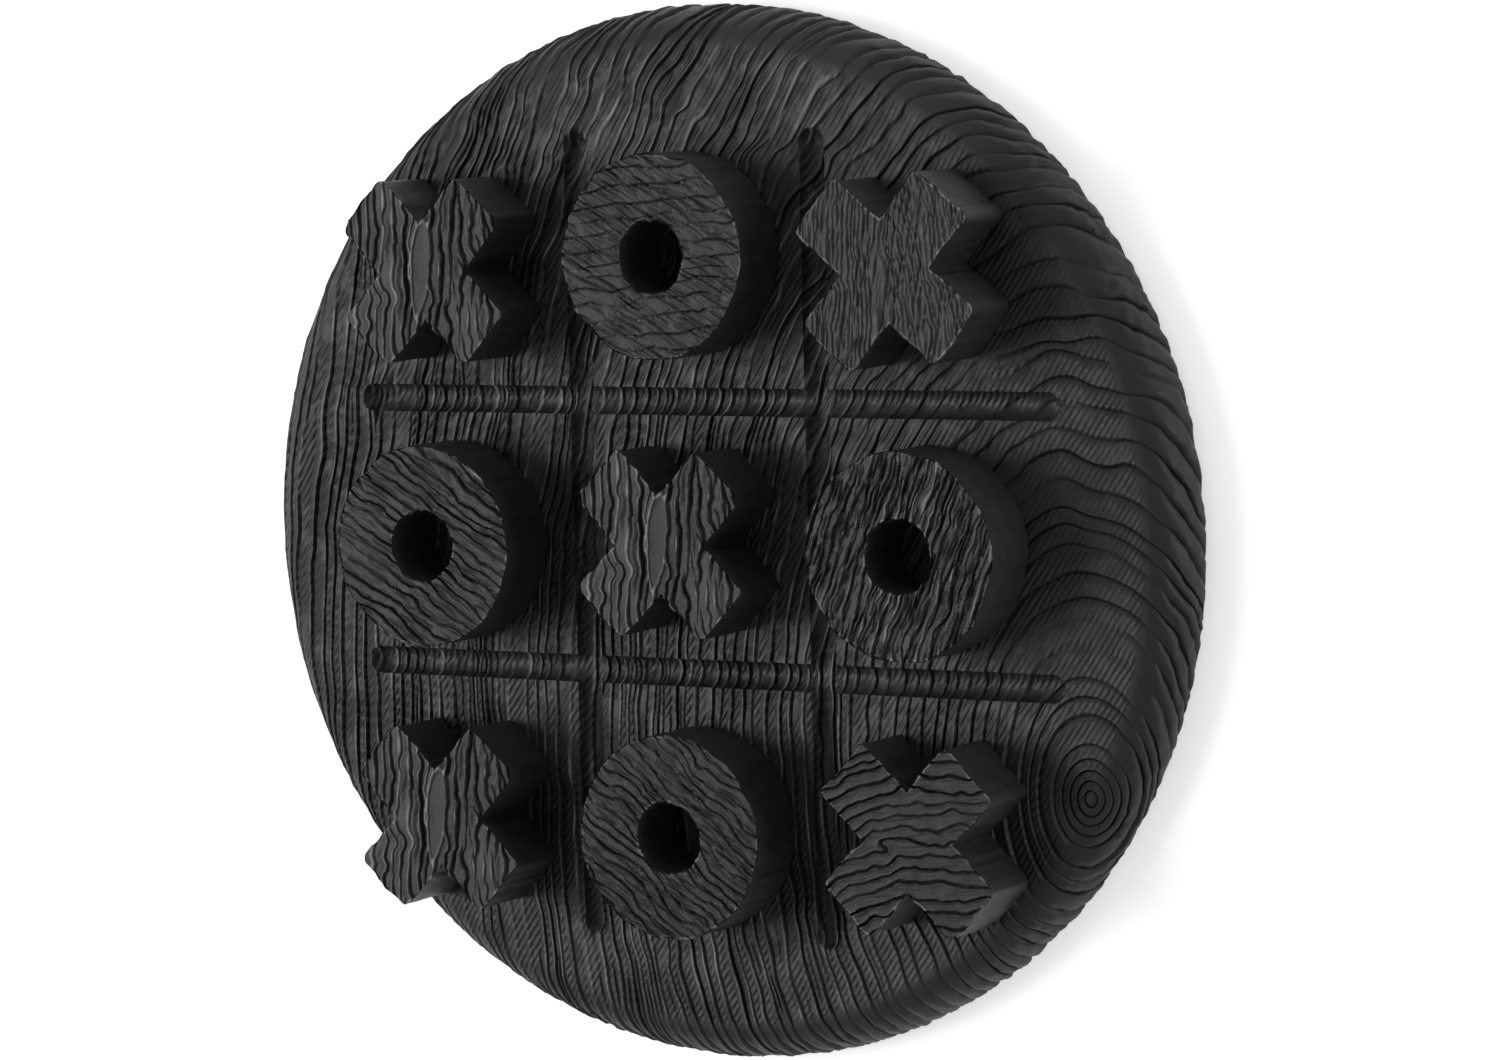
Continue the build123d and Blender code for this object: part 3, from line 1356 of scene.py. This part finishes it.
@dataclass(frozen=True)
class CastResin:
    """Matt black casting resin, taken from a mould of sawn and wire-brushed wood.

    Attributes:
        name: the material's name.
        edge_highlight: colour of the sharp edges, a painted highlight, palest of all.
        crest_highlight: colour of the crests, a painted highlight.
        body: colour of the open surface.
        crevice_shade: colour down in the grain, painted shade.
        roughness: roughness of the open surface.
        saw_lean: lean of the saw marks from the X axis, in degrees.
        saw_pitch: distance between saw marks, in millimetres.
        saw_depth: depth of the saw marks, in millimetres.
        skin_depth: depth of the casting skin's pits, in millimetres.
    """

    name: str
    # Pale edges and crests are a painted highlight, and the black grain hollows are painted shade
    edge_highlight: str = "#7a7f7c"
    crest_highlight: str = "#545856"
    body: str = "#232625"
    crevice_shade: str = "#121413"
    roughness: float = 0.5
    saw_lean: float = 56.0
    saw_pitch: float = 2.0
    saw_depth: float = 0.34
    skin_depth: float = 0.03

    def material(self) -> bpy.types.Material:
        """Build the material's nodes.

        Returns:
            The material.
        """
        made = start_material(self.name)
        tree = made.node_tree
        place = add_node(tree, "ShaderNodeTexCoord", {}).outputs["Object"]
        # Saw marks: close, slightly crooked teeth that run out in places
        turned = add_node(tree, "ShaderNodeMapping", {
            "Vector": place,
            "Rotation": (0.0, 0.0, -math.radians(self.saw_lean)),
        }, vector_type="POINT").outputs[0]
        teeth = add_node(tree, "ShaderNodeTexWave", {
            "Vector": turned, "Scale": 0.314 / (self.saw_pitch * MM), "Distortion": 3.6,
            "Detail": 2.0, "Detail Scale": 0.35, "Detail Roughness": 0.55,
        }, wave_type="BANDS", bands_direction="Y", wave_profile="SIN").outputs["Fac"]
        run_out = add_node(tree, "ShaderNodeTexNoise", {
            "Vector": turned, "Scale": 1 / (9 * MM), "Detail": 2.0, "Roughness": 0.6,
        }).outputs["Fac"]
        present = add_node(tree, "ShaderNodeMapRange", {
            "Value": run_out, "From Min": 0.36, "From Max": 0.56, "To Min": 0.15, "To Max": 1.0,
        }).outputs[0]
        flat = add_node(tree, "ShaderNodeAttribute", {}, attribute_name="sawn").outputs["Fac"]
        cut = add_node(tree, "ShaderNodeMath", {0: teeth, 1: present}, operation="MULTIPLY").outputs[0]
        cut = add_node(tree, "ShaderNodeMath", {0: cut, 1: flat}, operation="MULTIPLY").outputs[0]
        # Casting skin: fine pitting about half a millimetre across
        pits = add_node(tree, "ShaderNodeTexNoise", {
            "Vector": place, "Scale": 1 / (0.7 * MM), "Detail": 3.0, "Roughness": 0.6,
        }).outputs["Fac"]
        cloud = add_node(tree, "ShaderNodeTexNoise", {
            "Vector": place, "Scale": 1 / (45 * MM), "Detail": 3.0, "Roughness": 0.55,
        }).outputs["Fac"]
        # Tone: painted highlight, pale on edges and crests, and painted shade, black down in the grain
        depth = add_node(tree, "ShaderNodeAttribute", {}, attribute_name="depth").outputs["Fac"]
        depth = add_node(tree, "ShaderNodeMapRange", {
            "Value": depth, "From Min": -0.5, "From Max": 1.0,
        }).outputs[0]
        tone = add_node(tree, "ShaderNodeValToRGB", {"Fac": depth})
        ramp = tone.color_ramp.elements
        ramp[0].color = linear(self.edge_highlight)
        ramp[1].color = linear(self.crevice_shade)
        steps = ((0.34, self.edge_highlight), (0.45, self.crest_highlight), (0.57, self.body), (0.8, self.body))
        for position, colour in steps:
            ramp.new(position).color = linear(colour)
        shade_of_place = add_node(tree, "ShaderNodeMapRange", {
            "Value": cloud, "From Min": 0.3, "From Max": 0.7, "To Min": 0.88, "To Max": 1.12,
        }).outputs[0]
        varied = add_node(tree, "ShaderNodeVectorMath", {
            0: tone.outputs["Color"], 1: (1.0, 1.0, 1.0),
        }, operation="MULTIPLY")
        tree.links.new(shade_of_place, varied.inputs[1])
        rough = add_node(tree, "ShaderNodeMapRange", {
            "Value": pits, "From Min": 0.3, "From Max": 0.7,
            "To Min": self.roughness - 0.06, "To Max": self.roughness + 0.08,
        }).outputs[0]
        sawn = add_node(tree, "ShaderNodeBump", {
            "Height": cut, "Distance": self.saw_depth * MM, "Strength": 1.0,
        }).outputs[0]
        pitted = add_node(tree, "ShaderNodeBump", {
            "Height": pits, "Distance": self.skin_depth * MM, "Strength": 1.0, "Normal": sawn,
        }).outputs[0]
        shader = add_node(tree, "ShaderNodeBsdfPrincipled", {
            "Base Color": varied.outputs[0], "Roughness": rough, "Normal": pitted, "IOR": 1.5,
            "Specular IOR Level": 0.35,
        })
        add_node(tree, "ShaderNodeOutputMaterial", {"Surface": shader.outputs[0]})
        return made


@dataclass(frozen=True)
class PressedFelt:
    """Black pressed wool felt: matted fibres that scatter light and show no gloss.

    Attributes:
        name: the material's name.
        body: colour of the felt.
        lint: colour of the fibres that stand up.
    """

    name: str = "pressed_wool_felt"
    body: str = "#232324"
    lint: str = "#3a3a3c"

    def material(self) -> bpy.types.Material:
        """Build the material's nodes.

        Returns:
            The material.
        """
        made = start_material(self.name)
        tree = made.node_tree
        place = add_node(tree, "ShaderNodeTexCoord", {}).outputs["Object"]
        fibres = add_node(tree, "ShaderNodeTexNoise", {
            "Vector": place, "Scale": 1 / (0.35 * MM), "Detail": 4.0, "Roughness": 0.7,
            "Distortion": 1.2,
        }).outputs["Fac"]
        tone = add_node(tree, "ShaderNodeMapRange", {
            "Value": fibres, "From Min": 0.4, "From Max": 0.7, "To Min": 0.0, "To Max": 1.0,
        }).outputs[0]
        colour = add_node(tree, "ShaderNodeValToRGB", {"Fac": tone})
        colour.color_ramp.elements[0].color = linear(self.body)
        colour.color_ramp.elements[1].color = linear(self.lint)
        raised = add_node(tree, "ShaderNodeBump", {
            "Height": fibres, "Distance": 0.2 * MM, "Strength": 1.0,
        }).outputs[0]
        shader = add_node(tree, "ShaderNodeBsdfPrincipled", {
            "Base Color": colour.outputs[0], "Roughness": 0.95, "Normal": raised,
            "Specular IOR Level": 0.2, "Sheen Weight": 0.3, "Sheen Roughness": 0.5,
        })
        add_node(tree, "ShaderNodeOutputMaterial", {"Surface": shader.outputs[0]})
        return made


# ---------------------------------------------------------------- studio


@dataclass(frozen=True)
class Studio:
    """Pale floor, soft daylight from the left and far side, and the camera.

    Attributes:
        camera_place: the camera's position, in millimetres.
        look_at: the point in the middle of the picture, in millimetres.
        roll_deg: turn of the camera about its own line of sight.
        lens: focal length for a sensor 36 mm wide.
        room_light: strength of the light from all round.
        floor_glow: strength of the light that comes up through the floor.
        panel_distance: distance of each light panel from the board, in metres.
    """

    camera_place: tuple[float, float, float] = (896.5, 164.42, 1520.61)
    look_at: tuple[float, float, float] = (17.3, 3.17, 21.5)
    roll_deg: float = -1.472
    lens: float = 125.88
    room_light: float = 0.35
    floor_glow: float = 0.52
    panel_distance: float = 2.8

    def build(self) -> None:
        """Set up floor, lights, backdrop colour and camera."""
        self.add_floor()
        self.add_lights()
        self.add_camera()

    def add_floor(self) -> None:
        """Lay a wide white floor under the set, a little lit from below so that it stays white."""
        clear_selection()
        bpy.ops.mesh.primitive_plane_add(size=14.0, location=(0.0, 0.0, 0.0))
        floor = bpy.context.active_object
        floor.name = "studio_floor"
        made = bpy.data.materials.new("white_paper_sweep")
        made.use_nodes = True
        surface = made.node_tree.nodes["Principled BSDF"]
        surface.inputs["Base Color"].default_value = linear("#f7f7f7")
        surface.inputs["Roughness"].default_value = 0.9
        surface.inputs["Specular IOR Level"].default_value = 0.1
        surface.inputs["Emission Color"].default_value = (1.0, 1.0, 1.0, 1.0)
        surface.inputs["Emission Strength"].default_value = self.floor_glow
        floor.data.materials.append(made)

    def add_lights(self) -> None:
        """Hang a large soft panel on the left, a weaker one beyond and a low one on the right."""
        world = bpy.data.worlds.new("pale_room")
        world.use_nodes = True
        sky = world.node_tree.nodes["Background"]
        sky.inputs["Color"].default_value = (1.0, 1.0, 1.0, 1.0)
        sky.inputs["Strength"].default_value = self.room_light
        bpy.context.scene.world = world
        self.add_panel("key_panel", bearing=182.0, height=41.0, size=1.4, power=46.0)
        self.add_panel("far_panel", bearing=105.0, height=36.0, size=1.5, power=7.0)
        self.add_panel("low_panel", bearing=5.0, height=7.0, size=0.6, power=12.0)

    def add_panel(self, name: str, bearing: float, height: float, size: float, power: float) -> None:
        """Hang a square light panel that faces the middle of the board.

        Args:
            name: the light's name.
            bearing: its direction from the board, in degrees from the X axis.
            height: its angle above the floor, in degrees.
            size: the length of its sides, in metres.
            power: its power, in watts.
        """
        panel = bpy.data.lights.new(name, "AREA")
        panel.shape = "SQUARE"
        panel.size = size
        panel.energy = power
        holder = bpy.data.objects.new(name, panel)
        turn, lift = math.radians(bearing), math.radians(height)
        way = Vector((math.cos(turn) * math.cos(lift), math.sin(turn) * math.cos(lift), math.sin(lift)))
        holder.location = self.panel_distance * way
        holder.rotation_euler = (-way).to_track_quat("-Z", "Y").to_euler()
        bpy.context.scene.collection.objects.link(holder)

    def add_camera(self) -> None:
        """Place the camera, with the picture's upright along the board's +Y, turned by the roll."""
        eye, aim = Vector(self.camera_place) * MM, Vector(self.look_at) * MM
        back = (eye - aim).normalized()
        right = Vector((0.0, 1.0, 0.0)).cross(back).normalized()
        up = back.cross(right)
        roll = math.radians(self.roll_deg)
        turned = right * math.cos(roll) + up * math.sin(roll)
        up = up * math.cos(roll) - right * math.sin(roll)
        lens = bpy.data.cameras.new("portrait")
        lens.lens = self.lens
        lens.sensor_width = 36.0
        lens.clip_start = 0.05
        lens.clip_end = 60.0
        holder = bpy.data.objects.new("portrait", lens)
        turn = Matrix((turned, up, back)).transposed().to_4x4()
        holder.matrix_world = Matrix.Translation(eye) @ turn
        bpy.context.scene.collection.objects.link(holder)
        bpy.context.scene.camera = holder
        bpy.context.scene.view_settings.view_transform = "Standard"


def main() -> None:
    """Build the set piece by piece."""
    logging.basicConfig(level=logging.INFO, format="%(message)s")
    Studio().build()
    # The board's crests get a dimmer painted highlight than the pieces' crests
    Board().build(CastResin("cast_resin_board", crest_highlight="#3d403e"))
    Pieces().build()
    FeltPads().build()


if __name__ == "__main__":
    main()
